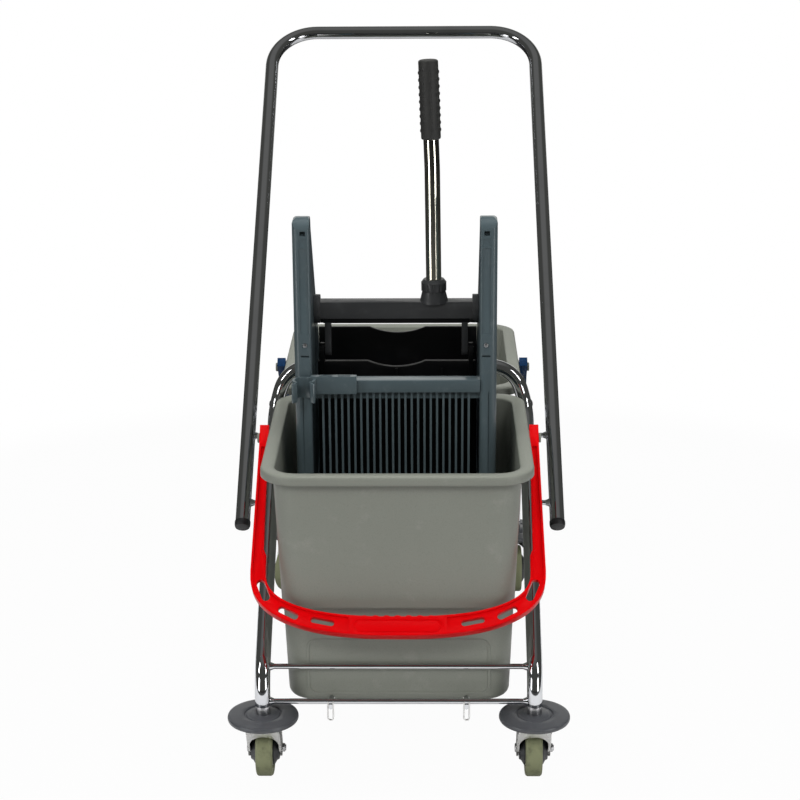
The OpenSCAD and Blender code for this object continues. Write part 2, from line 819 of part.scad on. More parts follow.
lever_p = [
    [lever_x, shaft_y, socket_z - 2], [lever_x - 2.1, shaft_y, kink_z], [lever_x - 7.1, shaft_y, grip_top - 5]
];
lever_top = lever_p[2] + unit(lever_p[2] - lever_p[1]) * 5;
grip_low = lever_top - unit(lever_p[2] - lever_p[1]) * grip_len;

module press_shaft() {
    color(black) in_press() difference() {
        union() {
            translate([-flange_x - 2, shaft_y - 11, shaft_z - 11]) cube([2 * flange_x + 4, 22, 22]);
            translate([-flange_x, shaft_y + 2, shaft_z - 20]) cube([2 * flange_x, 9, 10]);
            for (s = [0, 1]) mirror([s, 0, 0]) {
                translate([flange_x, shaft_y, shaft_z]) rotate([0, 90, 0]) {
                    cylinder(d = 38, h = ear_in - flange_x - run);
                    cylinder(d = stub_d, h = ear_in - flange_x + 10.5);
                }
                translate([0, shaft_y, shaft_z]) crank();
            }
            aim(lever_p[0], lever_p[1]) cylinder(d1 = 38, d2 = 30, h = 16);
        }
        bar(lever_p[0], lever_p[1], lever_d + 2 * seat);
    }
}

module lever_tube() {
    path = [lever_p[0] + [0, 0, 0.3], lever_p[1], lever_p[2]];
    color(chrome) in_press() bent_tube(path, [0, 300, 0], lever_d, 1.5);
}

module lever_collar() {
    color(black) in_press() aim(lever_p[0], lever_p[1]) translate([0, 0, 16 + seat]) difference() {
        union() {
            cylinder(d = 33, h = 11);
            translate([0, 0, 10.9]) cylinder(d1 = 33, d2 = 27, h = 4);
        }
        translate([0, 0, -1]) cylinder(d = lever_d + 2 * seat, h = 20);
        for (i = [0 : 11]) rotate(i * 30) translate([17.3, 0, -1]) cylinder(d = 3.4, h = 11);
    }
}

module lever_grip() {
    r = grip_d / 2;
    color(black) in_press() aim(grip_low, lever_top) difference() {
        rotate_extrude() difference() {
            union() {
                square([r - 1.5, grip_len]);
                translate([0, 1.5]) square([r, grip_len - 3]);
                translate([r - 1.5, 1.5]) circle(1.5, $fn = 24);
                translate([r - 1.5, grip_len - 1.5]) circle(1.5, $fn = 24);
            }
            translate([-r, -1]) square([r, grip_len + 2]);
            for (i = [1 : 9]) translate([r + 0.6, i * grip_len / 10]) circle(1.6, $fn = 24);
        }
        translate([0, 0, -1]) cylinder(d = lever_d + 2 * seat, h = grip_len - 4 + 1 + seat);
    }
}

// Plate that the cranks swing toward the rear wall
module press_plate() {
    neck = plate_pin_z - plate_top + 15;
    color(black) in_press() difference() {
        union() {
            difference() {
                translate([-104, shaft_y - 4, press_low + 20]) cube([208, 8, plate_top - press_low - 20]);
                dip(plate_top);
            }
            for (x = [-98, -60, 0, 60, 98])
                translate([x - 1.5, shaft_y - 9, press_low + 24]) cube([3, 6, plate_top - press_low - 33]);
            for (s = [0, 1]) mirror([s, 0, 0]) {
                along_x(crank_x + 1, crank_x + 7) translate([shaft_y, plate_pin_z]) {
                    circle(9.5);
                    translate([-9.5, -neck]) square([19, neck]);
                }
                along_x(103, ear_in + 4.5) translate([shaft_y, stud_z]) circle(d = 8);
            }
        }
        along_x(-ear_in, ear_in) translate([shaft_y, plate_pin_z]) circle(d = 8 + 2 * play);
    }
}

front_hoop();
rear_leg(-1);  // rear_leg_left
rear_leg(1);  // rear_leg_right
front_high_rod();  // front_upper_rod
low_rod(-1);  // front_lower_rod
rear_high_rod();  // rear_upper_rod
low_rod(1);  // rear_lower_rod
support_rod(-1);  // support_rod_left
support_rod(1);  // support_rod_right
wire_loop(-1);  // wire_loop_left
wire_loop(1);  // wire_loop_right
push_handle();
handle_plug(-1);  // handle_plug_left
handle_plug(1);  // handle_plug_right
stay(-1, stay_y[0]);  // stay_left_low
stay(-1, stay_y[1]);  // stay_left_high
stay(1, stay_y[0]);  // stay_right_low
stay(1, stay_y[1]);  // stay_right_high
stem(-1, -1);  // stem_front_left
stem(1, -1);  // stem_front_right
stem(-1, 1);  // stem_rear_left
stem(1, 1);  // stem_rear_right
disc(-1, -1);  // disc_front_left
disc(1, -1);  // disc_front_right
disc(-1, 1);  // disc_rear_left
disc(1, 1);  // disc_rear_right
fork(-1, -1);  // fork_front_left
fork(1, -1);  // fork_front_right
fork(-1, 1);  // fork_rear_left
fork(1, 1);  // fork_rear_right
axle(-1, -1);  // axle_front_left
axle(1, -1);  // axle_front_right
axle(-1, 1);  // axle_rear_left
axle(1, 1);  // axle_rear_right
hub(-1, -1);  // hub_front_left
hub(1, -1);  // hub_front_right
hub(-1, 1);  // hub_rear_left
hub(1, 1);  // hub_rear_right
tyre(-1, -1);  // tyre_front_left
tyre(1, -1);  // tyre_front_right
tyre(-1, 1);  // tyre_rear_left
tyre(1, 1);  // tyre_rear_right
front_bucket();
rear_bucket();
front_bail();
rear_bail();
wringer_body();
back_plate();
mop_clip();
retainer(-1);  // retainer_left
retainer(1);  // retainer_right
press_shaft();
lever_tube();
lever_collar();
lever_grip();
press_plate();
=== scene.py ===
import math

import bmesh
import bpy
from mathutils import Matrix, Vector


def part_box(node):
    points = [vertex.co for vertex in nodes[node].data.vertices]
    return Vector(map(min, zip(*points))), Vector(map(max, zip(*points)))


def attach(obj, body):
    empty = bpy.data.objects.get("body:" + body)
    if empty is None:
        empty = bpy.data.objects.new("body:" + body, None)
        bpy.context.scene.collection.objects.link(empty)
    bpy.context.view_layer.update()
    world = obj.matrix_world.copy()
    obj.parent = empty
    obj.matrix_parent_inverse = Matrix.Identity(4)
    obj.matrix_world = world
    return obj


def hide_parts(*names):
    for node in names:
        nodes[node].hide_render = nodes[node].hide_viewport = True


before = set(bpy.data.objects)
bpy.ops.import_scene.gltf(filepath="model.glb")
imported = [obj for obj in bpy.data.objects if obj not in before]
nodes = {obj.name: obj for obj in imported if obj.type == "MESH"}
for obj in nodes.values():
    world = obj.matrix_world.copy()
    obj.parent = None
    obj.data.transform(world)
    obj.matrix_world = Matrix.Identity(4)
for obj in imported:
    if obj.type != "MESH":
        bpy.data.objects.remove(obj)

scene = bpy.context.scene
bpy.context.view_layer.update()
mm = 0.001

# The camera stands in front of the trolley at chest height and looks slightly down,
# with a long lens, a small turn to the left and a trace of roll.
middle_y = (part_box("disc_front_left")[0].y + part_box("disc_rear_left")[1].y) / 2
camera_data = bpy.data.cameras.new("camera")
camera_data.sensor_width = 36
camera_data.lens = 90
camera_data.clip_end = 100
camera = bpy.data.objects.new("camera", camera_data)
scene.collection.objects.link(camera)
scene.camera = camera
pitch = math.radians(17.40)
turn = math.radians(0.944)
roll = math.radians(0.37)
ahead = Vector((-math.sin(turn) * math.cos(pitch), math.cos(turn) * math.cos(pitch), -math.sin(pitch)))
across = ahead.cross(Vector((0, 0, 1))).normalized()
upward = across.cross(ahead)
tilted = upward * math.cos(roll) + across * math.sin(roll)
sideways = ahead.cross(tilted)
pose = Matrix((sideways, tilted, -ahead)).transposed().to_4x4()
pose.translation = Vector((0.043, middle_y - 2.6785, 1.257))
camera.matrix_world = pose


# The studio: a white floor that keeps a soft shadow, a white surround for the eye, and soft lamps.
# Bright metal sees a dark room with a white floor near the wheels. It mirrors the small boxes and strips
# at the sides, and not the three large lamps.
class Wire:
    """An output socket of a node tree, on which sums and products add Math nodes."""

    def __init__(self, tree, socket=None):
        self.tree = tree
        self.socket = socket

    def node(self, kind, settings=None, inputs=None, out=0):
        made = self.tree.nodes.new("ShaderNode" + kind)
        for key, value in (settings or {}).items():
            setattr(made, key, value)
        for key, value in (inputs or {}).items():
            if isinstance(value, Wire):
                self.tree.links.new(value.socket, made.inputs[key])
            else:
                made.inputs[key].default_value = value
        return Wire(self.tree, made.outputs[out] if made.outputs else None)

    def maths(self, operation, other, swapped=False):
        pair = (other, self) if swapped else (self, other)
        return self.node("Math", {"operation": operation}, {0: pair[0], 1: pair[1]})

    def __add__(self, other):
        return self.maths("ADD", other)

    def __radd__(self, other):
        return self.maths("ADD", other, True)

    def __rsub__(self, other):
        return self.maths("SUBTRACT", other, True)

    def __mul__(self, other):
        return self.maths("MULTIPLY", other)

    def clear_of(self, low, high):
        """0 below low, 1 above high, smooth between."""
        return self.node("MapRange", {"interpolation_type": "SMOOTHSTEP"},
                         {0: self, 1: low, 2: high, 3: 0.0, 4: 1.0})

    def tint(self, first, second):
        """The first colour where this is 0, the second where it is 1."""
        return self.node("Mix", {"data_type": "RGBA"}, {0: self, 6: first, 7: second}, out=2)


def linear(red, green, blue):
    """A colour given in screen values, 0 to 255, as the linear values that shaders take."""
    steps = [c / 255 for c in (red, green, blue)]
    return tuple(c / 12.92 if c <= 0.04045 else ((c + 0.055) / 1.055) ** 2.4 for c in steps) + (1.0,)


scene.view_settings.view_transform = "Standard"
world = bpy.data.worlds.new("studio")
scene.world = world
world.use_nodes = True
world.node_tree.nodes.clear()
sky = Wire(world.node_tree)
is_camera = sky.node("LightPath")
is_glossy = Wire(sky.tree, is_camera.socket.node.outputs["Is Glossy Ray"])
toward_back = sky.node("SeparateXYZ", None, {0: sky.node("TexCoord", out=0)}, out=1)
toward_top = Wire(sky.tree, toward_back.socket.node.outputs["Z"])
behind = toward_back.clear_of(0.80, 0.96)
room = behind.tint((0.075, 0.076, 0.070, 1), (0.95, 0.95, 0.92, 1))
room = toward_top.clear_of(0.7, 0.95).tint(room, (0.16, 0.16, 0.155, 1))
seen = is_glossy.tint((0.07, 0.07, 0.07, 1), room)
seen = is_camera.tint(seen, (1, 1, 1, 1))
background = sky.node("Background", None, {"Color": seen, "Strength": 1.0})
sky.node("OutputWorld", None, {"Surface": background})

floor_mesh = bpy.data.meshes.new("floor")
floor_form = bmesh.new()
bmesh.ops.create_grid(floor_form, x_segments=4, y_segments=4, size=12)
floor_form.to_mesh(floor_mesh)
floor_form.free()
floor = bpy.data.objects.new("floor", floor_mesh)
scene.collection.objects.link(floor)
floor_paint = bpy.data.materials.new("floor_white")
floor_paint.use_nodes = True
floor_paint.node_tree.nodes.clear()
ground = Wire(floor_paint.node_tree)
floor_camera = ground.node("LightPath")
floor_glossy = Wire(ground.tree, floor_camera.socket.node.outputs["Is Glossy Ray"])
spread = ground.node("VectorMath", {"operation": "LENGTH"}, {0: ground.node("TexCoord", out=3)}, out=1)
far = spread.clear_of(1.12, 1.35)
near_paint = floor_glossy.tint((0.4, 0.4, 0.4, 1), (0.9, 0.9, 0.9, 1))
paint = (floor_glossy * far).tint(near_paint, (0.08, 0.08, 0.08, 1))
floor_seen = ground.node("BsdfDiffuse", None, {"Color": paint})
floor_white = ground.node("Emission", None, {"Color": (1, 1, 1, 1), "Strength": 1.0})
floor_share = floor_camera * (0.97 + far * 0.03)
floor_mix = ground.node("MixShader", None, {0: floor_share, 1: floor_seen, 2: floor_white})
ground.node("OutputMaterial", None, {"Surface": floor_mix})
floor.data.materials.append(floor_paint)


def soft_lamp(name, place, aim, width, height, watts, mirrored=True):
    """An area lamp turned to its aim, which metal mirrors or not."""
    lamp = bpy.data.lights.new(name, "AREA")
    lamp.shape = "RECTANGLE"
    lamp.size = width
    lamp.size_y = height
    lamp.energy = watts
    held = bpy.data.objects.new(name, lamp)
    held.visible_glossy = mirrored
    held.location = place
    held.rotation_euler = (Vector(aim) - Vector(place)).to_track_quat("-Z", "Y").to_euler()
    scene.collection.objects.link(held)


soft_lamp("key_lamp", (-0.7, -2.8, 2.3), (0, -0.2, 0.4), 0.7, 0.7, 27, mirrored=False)
soft_lamp("fill_lamp", (0.9, -2.6, 2.1), (0, -0.2, 0.4), 0.7, 0.7, 17, mirrored=False)
soft_lamp("top_lamp", (0, -0.1, 3.0), (0, -0.2, 0), 2.0, 2.0, 74, mirrored=False)
for side in (-1, 1):
    for name, height in (("low", 1.5), ("high", 2.2)):
        soft_lamp(f"box_{name}_{side}", (side * 2.1, -1.5, height), (0, -0.2, 0.3), 0.5, 0.45, 5)
    soft_lamp(f"strip_{side}", (side * 1.1, -1.3, 0.36), (0, -0.2, 0.75), 0.42, 0.6, 3.5)


# The frame: a bent hoop, two rear legs, cross rods, support rods, stays and the tall push handle.
# All are welded steel tube and rod, chrome plated, with faint wiping marks and specks.
def finish(name):
    """A new material with its shader, and a wire to draw from."""
    made = bpy.data.materials.new(name)
    made.use_nodes = True
    tree = made.node_tree
    return made, tree.nodes["Principled BSDF"], Wire(tree)


def feed(shader, **values):
    """Sets the shader's sockets, by value or by link."""
    for key, value in values.items():
        socket = shader.inputs[key.replace("_", " ")]
        if isinstance(value, Wire):
            value.tree.links.new(value.socket, socket)
        else:
            socket.default_value = value


def grain(wire, size, detail=3.0, rough=0.5):
    """Noise in the object's own space, with marks about this many millimetres across."""
    place = wire.node("TexCoord", out=3)
    return wire.node("TexNoise", None,
                     {"Vector": place, "Scale": 1000 / size, "Detail": detail, "Roughness": rough})


def bumped(wire, height, depth):
    """A normal from a height, this many millimetres deep."""
    return wire.node("Bump", None, {"Height": height, "Strength": 1.0, "Distance": depth * mm})


chrome, shader, wire = finish("chrome_plate")
smear = grain(wire, 60, 4).clear_of(0.45, 0.75)
specks = grain(wire, 2.5, 2).clear_of(0.62, 0.75)
feed(
    shader,
    Base_Color=smear.tint((0.60, 0.61, 0.63, 1), (0.54, 0.55, 0.57, 1)),
    Metallic=1.0,
    Roughness=0.03 + smear * 0.05 + specks * 0.03,
    Normal=bumped(wire, grain(wire, 40, 2), 0.015),
)
for name in ("front_hoop", "rear_leg_left", "rear_leg_right", "push_handle",
             "front_upper_rod", "front_lower_rod", "rear_upper_rod", "rear_lower_rod",
             "support_rod_left", "support_rod_right",
             "stay_left_low", "stay_left_high", "stay_right_low", "stay_right_high"):
    nodes[name].data.materials.clear()
    nodes[name].data.materials.append(chrome)


# Black plastic plugs close the handle's lower ends. Each is pushed into the tube and has a domed cap.
def shown(name, form, paint, body, slot, *replaced, angle=35):
    """Turns a mesh in the making into a smooth piece that rides on a body and stands for CAD nodes."""
    mesh = bpy.data.meshes.new(name)
    form.normal_update()
    form.to_mesh(mesh)
    form.free()
    mesh.shade_smooth()
    mesh.set_sharp_from_angle(angle=math.radians(angle))
    mesh.materials.append(paint)
    piece = bpy.data.objects.new(name, mesh)
    scene.collection.objects.link(piece)
    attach(piece, body)
    if replaced:
        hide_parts(*replaced)


def softened(node, width):
    """The node's solid with its sharp edges rounded, as a mesh in the making."""
    form = bmesh.new()
    form.from_mesh(nodes[node].data)
    bmesh.ops.remove_doubles(form, verts=form.verts, dist=2e-6)
    bmesh.ops.dissolve_limit(form, angle_limit=math.radians(0.6), verts=form.verts, edges=form.edges)
    sharp = math.radians(30)
    edges = [e for e in form.edges if len(e.link_faces) == 2 and e.calc_face_angle(0) > sharp]
    bmesh.ops.bevel(form, geom=edges, offset=width * mm, offset_type="OFFSET", segments=2,
                    profile=0.5, affect="EDGES", clamp_overlap=True)
    return form


plug_black, shader, wire = finish("plug_black")
dust = grain(wire, 12, 4).clear_of(0.45, 0.8)
feed(
    shader,
    Base_Color=dust.tint(linear(24, 24, 25), linear(40, 40, 41)),
    Roughness=0.38 + grain(wire, 6, 3) * 0.2,
    Normal=bumped(wire, grain(wire, 0.6, 2), 0.03),
)
for side in ("left", "right"):
    shown("plug_" + side, softened("handle_plug_" + side, 0.5), plug_black, "frame", "plug_black",
          "handle_plug_" + side)

# Two zinc wire loops hang from the front lower rod. They are bent from one wire round the rod.
zinc, shader, wire = finish("zinc_plate")
spangle = grain(wire, 8, 3).clear_of(0.35, 0.7)
tarnish = grain(wire, 25, 4).clear_of(0.55, 0.8)
feed(
    shader,
    Base_Color=tarnish.tint((0.76, 0.76, 0.75, 1), (0.56, 0.55, 0.53, 1)),
    Metallic=1.0,
    Roughness=0.26 + spangle * 0.16,
    Normal=bumped(wire, grain(wire, 3, 2), 0.03),
)
for name in ("wire_loop_left", "wire_loop_right"):
    nodes[name].data.materials.clear()
    nodes[name].data.materials.append(zinc)

# The four casters: a steel stem with a soft grey bumper disc, a pressed zinc fork that turns under it,
# with an arched sheet in front, and a dark wheel with an olive grey tyre on a bolted axle.
# A dark thread guard turns with the wheel at each side of it. The rear casters trail at their own angles.
steel, shader, wire = finish("turned_steel")
rings = grain(wire, 1.5, 2)
feed(
    shader,
    Base_Color=grain(wire, 20, 3).tint((0.56, 0.56, 0.57, 1), (0.44, 0.44, 0.45, 1)),
    Metallic=1.0,
    Roughness=0.24 + rings * 0.16,
    Normal=bumped(wire, rings, 0.02),
)
bumper_grey, shader, wire = finish("bumper_grey")
scuff = grain(wire, 30, 5, 0.6).clear_of(0.52, 0.78)
feed(
    shader,
    Base_Color=scuff.tint(linear(70, 72, 76), linear(88, 90, 93)),
    Roughness=0.34 + scuff * 0.18,
    Normal=bumped(wire, grain(wire, 0.8, 2), 0.05),
)
tyre_olive, shader, wire = finish("tyre_olive")
grime = grain(wire, 14, 5, 0.6).clear_of(0.48, 0.8)
feed(
    shader,
    Base_Color=grime.tint(linear(128, 132, 100), linear(98, 100, 78)),
    Roughness=0.55 + grime * 0.25,
    Normal=bumped(wire, grain(wire, 1.2, 3), 0.08),
)
hub_dark, shader, wire = finish("hub_dark")
wear = grain(wire, 10, 4).clear_of(0.5, 0.8)
feed(
    shader,
    Base_Color=wear.tint(linear(42, 43, 45), linear(60, 61, 62)),
    Roughness=0.42 + wear * 0.2,
    Normal=bumped(wire, grain(wire, 0.9, 2), 0.04),
)


def bridge(form, rings):
    """Faces between each ring of points and the next."""
    for lower, upper in zip(rings, rings[1:]):
        count = len(lower)
        for i in range(count):
            form.faces.new((lower[i], lower[(i + 1) % count], upper[(i + 1) % count], upper[i]))


def lathe(form, profile, origin, axis, bored=False):
    """A body of revolution: profile holds pairs of distance along the axis and radius, in millimetres.
    A bored one is closed on itself round a hole, and any other one has flat ends."""
    segments = 48
    along = Vector(axis).normalized()
    helper = Vector((0, 0, 1)) if abs(along.z) < 0.9 else Vector((1, 0, 0))
    side = along.cross(helper).normalized()
    other = along.cross(side)
    rings = []
    for distance, radius in profile:
        ring = []
        for i in range(segments):
            a = 2 * math.pi * i / segments
            spoke = side * math.cos(a) + other * math.sin(a)
            ring.append(form.verts.new((Vector(origin) + along * distance + spoke * radius) * mm))
        rings.append(ring)
    if bored:
        bridge(form, rings + rings[:1])
    else:
        bridge(form, rings)
        form.faces.new(rings[0][::-1])
        form.faces.new(rings[-1])
    bmesh.ops.recalc_face_normals(form, faces=form.faces)


def fork_front(form, stem, turn):
    """The fork's front sheet: it slants back from the crown and has an arch over the wheel."""
    down = Vector((0, 29.6, -49.5)).normalized()
    out = Vector((0, down.z, -down.y))
    half = 21.9
    arch = 18.8
    arch_middle = 36.8
    arch_cover = 32.0
    length = 52.0
    opening = [(-arch, length)]
    border = [(-half, length)]
    for step in range(19):
        a = math.pi * step / 18
        level = max(abs(math.cos(a)), math.sin(a))
        opening.append((-arch * math.cos(a), arch_middle - arch * math.sin(a)))
        border.append((-half * math.cos(a) / level if step else -half,
                       arch_middle - arch_cover * min(1.0, math.sin(a) / max(abs(math.cos(a)), 0.05))))
    opening.append((arch, length))
    border.append((half, length))
    loops = []
    for line, proud in ((border, 0.15), (border, 1.0), (opening, 1.0), (opening, 0.15)):
        loop = []
        for x, slide in line:
            place = Vector((x, -18, 83.5)) + down * slide + out * proud
            place = Matrix.Rotation(math.radians(turn), 3, "Z") @ place
            loop.append(form.verts.new((stem + place) * mm))
        loops.append(loop)
    for first, second in zip(loops, loops[1:] + loops[:1]):
        for k in range(len(first) - 1):
            form.faces.new((first[k], first[k + 1], second[k + 1], second[k]))
    for k in (0, -1):
        form.faces.new([loop[k] for loop in loops])
    bmesh.ops.recalc_face_normals(form, faces=form.faces)


middle = middle_y / mm
stems = {"front_left": (-175.5, -332.5, 0), "front_right": (175.5, -332.5, 0),
         "rear_left": (-175.5, 332.5, 156), "rear_right": (175.5, 332.5, 180)}
guard = ((10.6, 22), (12.2, 22), (12.8, 21.4), (15.5, 16.5), (18.2, 15), (18.6, 14.4), (18.6, 8.6), (10.6, 8.6))
for place, (x, y, turn) in stems.items():
    caster = "caster_" + place
    wheel = "wheel_" + place
    stem = Vector((x, y + middle, 0))
    form = bmesh.new()
    fork_front(form, stem, turn)
    shown("fork_sheet_" + place, form, zinc, caster, "zinc_sheet")
    spin = Matrix.Rotation(math.radians(turn), 3, "Z")
    form = bmesh.new()
    for side in (-1, 1):
        lathe(form, guard, stem + spin @ Vector((0, 22, 37)), spin @ Vector((side, 0, 0)), bored=True)
    shown("thread_guard_" + place, form, hub_dark, wheel, "hub_dark")
    shown("stem_pin_" + place, softened("stem_" + place, 0.4), steel, "frame", "steel_pin", "stem_" + place)
    shown("bumper_" + place, softened("disc_" + place, 0.8), bumper_grey, "frame", "bumper_grey",
          "disc_" + place)
    shown("swivel_fork_" + place, softened("fork_" + place, 0.6), zinc, caster, "zinc_sheet", "fork_" + place)
    shown("axle_bolt_" + place, softened("axle_" + place, 0.4), steel, caster, "steel_pin", "axle_" + place)
    shown("wheel_hub_" + place, softened("hub_" + place, 0.6), hub_dark, wheel, "hub_dark", "hub_" + place)
    shown("wheel_tyre_" + place, softened("tyre_" + place, 0.5), tyre_olive, wheel, "tyre_olive",
          "tyre_" + place)

# The two buckets are alike: moulded in warm grey plastic with a fine grain, a turned-down rim, a belly
# over a set-back lower part with a faint raised frame, two grooves over the support rods, and a boss on
# each side for the bail. The rear one stands turned round. Sizes are in millimetres.
bucket_grey, shader, wire = finish("bucket_grey")
cloud = grain(wire, 90, 3)
fleck = grain(wire, 1.4, 2).clear_of(0.5, 0.7)
rub = grain(wire, 35, 6, 0.62).clear_of(0.58, 0.8)
shade = cloud.tint(linear(121, 124, 115), linear(128, 131, 122))
shade = rub.tint(shade, linear(136, 138, 130))
feed(
    shader,
    Base_Color=(fleck * 0.35).tint(shade, linear(108, 110, 102)),
    Roughness=0.46 + rub * 0.16 + fleck * 0.06,
    Normal=bumped(wire, grain(wire, 0.9, 2) + cloud * 2.0, 0.06),
)

bucket_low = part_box("front_bucket")[0].z / mm
bucket_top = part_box("front_bucket")[1].z / mm
rim_half = 171.5
rim_front = -360
rim_rear = -11
lip_z = bucket_top - 12
belly_z = bucket_top - 186
wall = 3.0
corner_front = 45
corner_rear = 40
corner_wall = 31


def rise(z):
    """The share of the wall's height, 0 at the floor and 1 at the lip."""
    return (z - bucket_low) / (lip_z - bucket_low)


def rounded_ring(form, half, front, rear, front_r, rear_r, z, turned):
    """A ring of points round a rounded rectangle, all in millimetres from the trolley's middle."""
    sign = -1 if turned else 1
    points = []
    corners = ((half, front, front_r, -90), (half, rear, rear_r, 0),
               (-half, rear, rear_r, 90), (-half, front, front_r, 180))
    for x, y, r, start in corners:
        cx = x - math.copysign(r, x)
        cy = y + r if y == front else y - r
        for step in range(15):
            a = math.radians(start + step * 90 / 14)
            points.append((cx + r * math.cos(a), cy + r * math.sin(a)))
    return [form.verts.new((sign * x * mm, sign * y * mm + middle_y, z * mm)) for x, y in points]


def wall_ring(form, z, front, inset, turned):
    """A ring of the wall, which leans out by 12 at each side and by 13 at the rear up to the lip."""
    half = rim_half - 27.5 + 12 * rise(z) - inset
    rear = rim_rear - 29 + 13 * rise(z) - inset
    return rounded_ring(form, half, front + inset, rear, corner_wall - inset, corner_wall - inset, z, turned)


def rim_ring(form, z, inset, turned):
    return rounded_ring(form, rim_half - inset, rim_front + inset, rim_rear - inset,
                        corner_front - inset, corner_rear - inset, z, turned)


def low_front(z):
    """How far forward the wall stands under the belly."""
    return rim_front + 51 - 17 * rise(z)


def high_front(z):
    """How far forward the wall stands from the belly up."""
    return rim_front + 35 - 21 * rise(z)


def bucket_skin(form, inset, turned):
    """Rings from the floor's edge up to the rim, set in by the wall where it is the inside."""
    rings = []
    fillet = 10
    for a in range(0, 91, 15):
        s = math.sin(math.radians(a))
        c = math.cos(math.radians(a))
        z = bucket_low + inset + fillet * (1 - c)
        rings.append(wall_ring(form, z, low_front(z), inset + fillet * (1 - s), turned))
    under = belly_z - 12 + inset
    for z in (bucket_low + 60, under):
        rings.append(wall_ring(form, z, low_front(z), inset, turned))
    step = high_front(belly_z) - low_front(belly_z)
    for share, lift in ((0.05, 3.2), (0.16, 5.2), (0.32, 6.6), (0.68, 8.6),
                        (0.86, 10.2), (0.96, 12.4), (1.0, 15.0)):
        z = under + lift
        rings.append(wall_ring(form, z, low_front(z) + step * share, inset, turned))
    for z in (belly_z + 60, lip_z - 40):
        rings.append(wall_ring(form, z, high_front(z), inset, turned))
    return rings


def rod_bars(half, start, end, turned):
    """Two bars with round tops, where the support rods run under the bucket: as wide ones that cover the
    rods inside, or as narrow ones that cut the grooves and reach below the floor."""
    sign = -1 if turned else 1
    rod_x = 87.75
    rod_z = 107.45
    foot = bucket_low + 1 if half > 5 else bucket_low - 4
    form = bmesh.new()
    for x in (-rod_x, rod_x):
        outline = [(x + half, foot)]
        for step in range(17):
            a = math.pi * step / 16
            outline.append((x + half * math.cos(a), rod_z + half * math.sin(a)))
        outline.append((x - half, foot))
        ends = [[form.verts.new((sign * px * mm, sign * y * mm + middle_y, pz * mm)) for px, pz in outline]
                for y in (start, end)]
        bridge(form, ends)
        form.faces.new(ends[0])
        form.faces.new(ends[1][::-1])
    bmesh.ops.recalc_face_normals(form, faces=form.faces)
    return form


def joined(form, other, operation):
    """The first mesh in the making with the second one added to it or cut from it."""
    pair = []
    for part in (form, other):
        mesh = bpy.data.meshes.new("work")
        part.to_mesh(mesh)
        part.free()
        pair.append(bpy.data.objects.new("work", mesh))
        scene.collection.objects.link(pair[-1])
    change = pair[0].modifiers.new("change", "BOOLEAN")
    change.operation = operation
    change.solver = "EXACT"
    change.object = pair[1]
    result = bmesh.new()
    result.from_object(pair[0], bpy.context.evaluated_depsgraph_get())
    for piece in pair:
        mesh = piece.data
        bpy.data.objects.remove(piece)
        bpy.data.meshes.remove(mesh)
    return result


def front_frame(form, turned):
    """A faint raised frame with round corners, low on the front wall."""
    sign = -1 if turned else 1
    loops = []
    for half, low, high, radius, proud in ((119, 10, 91, 14, -0.5), (118.4, 10.6, 90.4, 13.4, 0.8),
                                           (115.6, 13.4, 87.6, 10.6, 0.8), (115, 14, 87, 10, -0.5)):
        loop = []
        for cx, cz, start in ((half - radius, high - radius, 0), (radius - half, high - radius, 90),
                              (radius - half, low + radius, 180), (half - radius, low + radius, 270)):
            for step in range(7):
                a = math.radians(start + step * 15)
                x = cx + radius * math.cos(a)
                z = bucket_low + cz + radius * math.sin(a)
                y = sign * (low_front(z) - proud)
                loop.append(form.verts.new((sign * x * mm, y * mm + middle_y, z * mm)))
        loops.append(loop)
    before = set(form.faces)
    bridge(form, loops)
    bmesh.ops.recalc_face_normals(form, faces=[face for face in form.faces if face not in before])


def bucket(name, turned):
    """One bucket's shell: the outside up and over the rolled rim, and the inside down to the floor."""
    form = bmesh.new()
    outside = bucket_skin(form, 0, turned)
    z = lip_z + 5
    outside.append(wall_ring(form, z, high_front(z), 0, turned))
    outside.append(wall_ring(form, z + 1.6, high_front(z), -0.5, turned))
    outside.append(wall_ring(form, z + 2.6, high_front(z), -2.0, turned))
    for inset, height in ((5.0, 7.6), (3.4, 7.0), (2.5, 5.4), (2.5, 0.6), (2.0, 0.0), (0.6, 0.0), (0.0, 0.7),
                          (0.0, 8.6), (0.35, 10.2), (1.2, 11.4), (2.6, 12.0), (7.0, 12.0)):
        outside.append(rim_ring(form, lip_z + height, inset, turned))
    inside = bucket_skin(form, wall, turned)
    for inset, drop in ((wall, 3.4), (wall - 0.5, 1.6), (wall - 1.8, 0.4)):
        z = bucket_top - drop
        inside.append(wall_ring(form, z, high_front(z), inset, turned))
    bridge(form, outside + inside[::-1])
    form.faces.new(outside[0][::-1])
    form.faces.new(inside[0])
    bmesh.ops.recalc_face_normals(form, faces=form.faces)
    form = joined(form, rod_bars(6.85, -307.9, -41.2, turned), "UNION")
    form = joined(form, rod_bars(3.85, -370.0, 0.0, turned), "DIFFERENCE")
    front_frame(form, turned)
    shown(name + "_shell", form, bucket_grey, name, "bucket_grey", name, angle=50)


pivot_y = 166
pivot_z = bucket_top - 14
pivot_root = 153.5
pivot = ((0, 11), (17.7, 11), (18.5, 10.2), (18.5, 4), (31.4, 4), (31.4, 5.8), (31.8, 6.4),
         (33.4, 6.4), (34.2, 5.6))
for name, turned in (("front_bucket", False), ("rear_bucket", True)):
    bucket(name, turned)
    form = bmesh.new()
    sign = -1 if turned else 1
    for side in (-1, 1):
        lathe(form, pivot, (side * pivot_root, middle - sign * pivot_y, pivot_z), (side, 0, 0))
    shown(name + "_pivots", form, bucket_grey, name, "bucket_grey")

